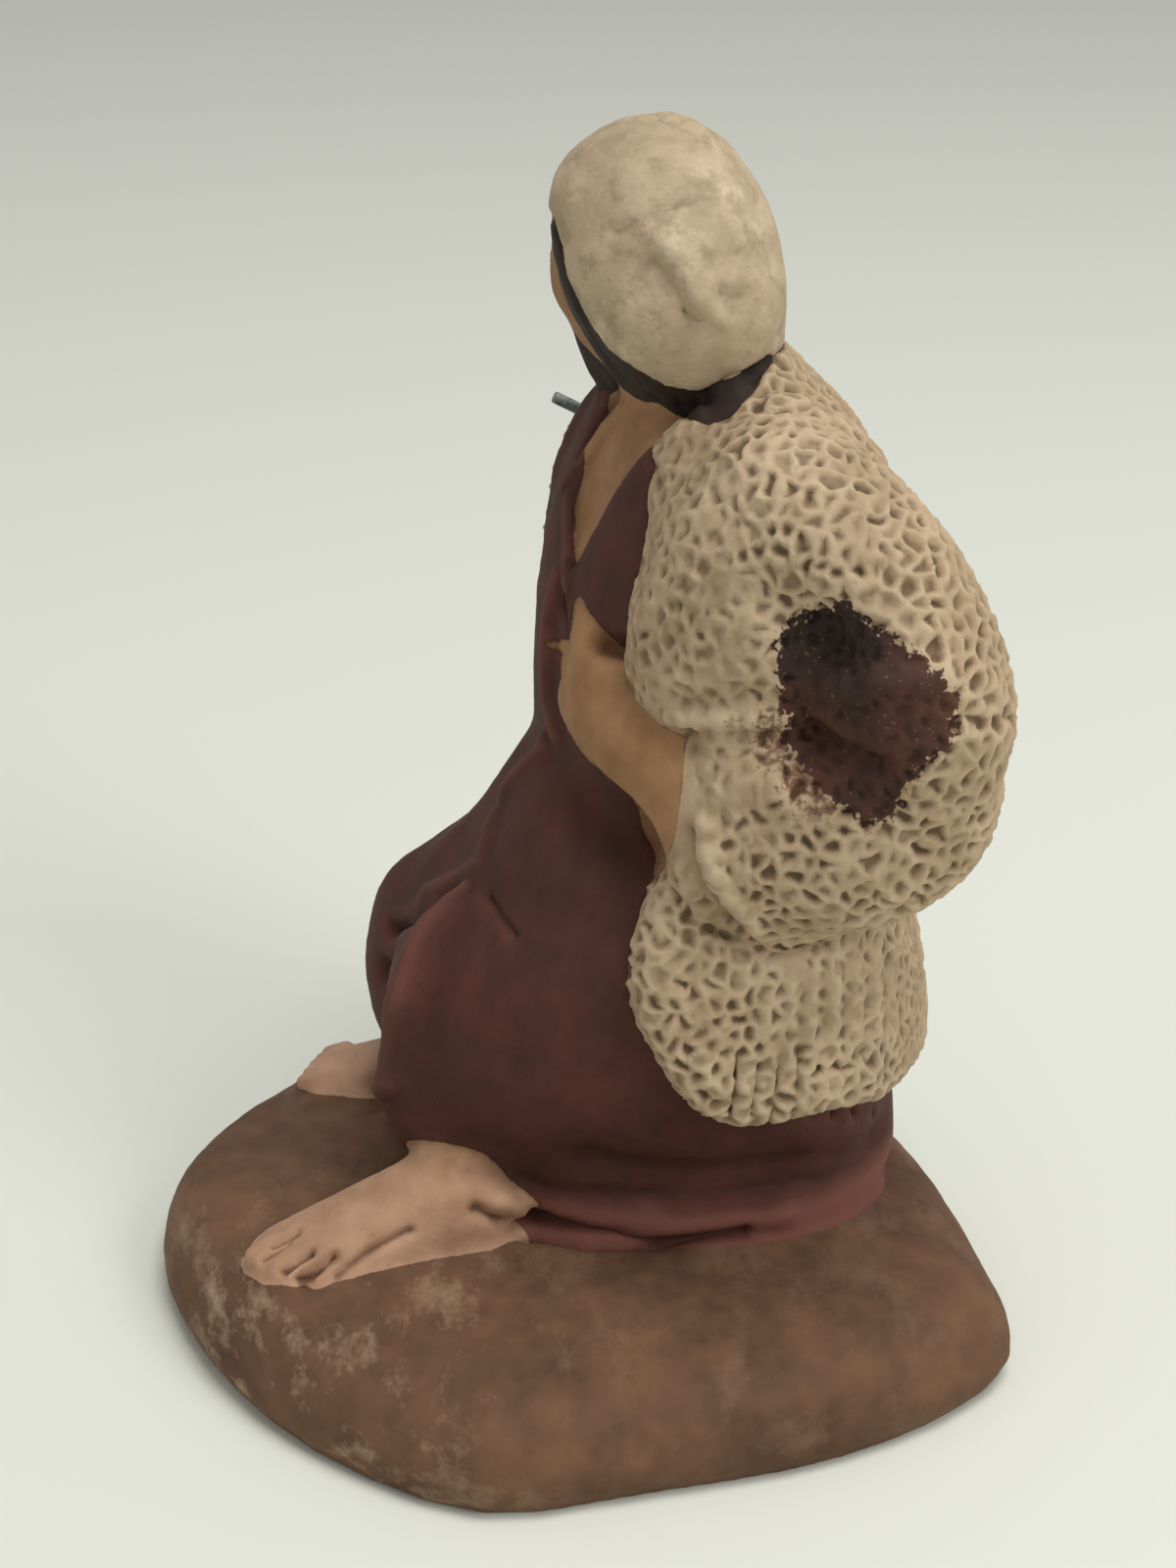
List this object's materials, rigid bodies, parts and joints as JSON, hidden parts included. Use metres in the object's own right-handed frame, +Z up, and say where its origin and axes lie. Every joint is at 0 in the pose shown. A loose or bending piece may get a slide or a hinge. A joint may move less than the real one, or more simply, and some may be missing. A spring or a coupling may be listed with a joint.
{
  "type": "nativity shepherd figure",
  "caption": "Seated clay shepherd in a tunic, fleece coat and close cap, one hand on the hip, on a rounded ground slab; a model figure that stands by itself.",
  "frame": {"origin": "middle of the underside of the ground slab", "axes": "+Z up, -Y the way the knees and feet point, +X the figure's left, where the hand rests on the hip"},
  "size_m": [0.0586, 0.0664, 0.0895],
  "materials": {
    "painted_clay": "matte paint on fired clay",
    "dark_metal": "dull grey-green"
  },
  "bodies": {
    "root": {"figure": "painted_clay", "stick": "dark_metal"}
  },
  "joints": []
}
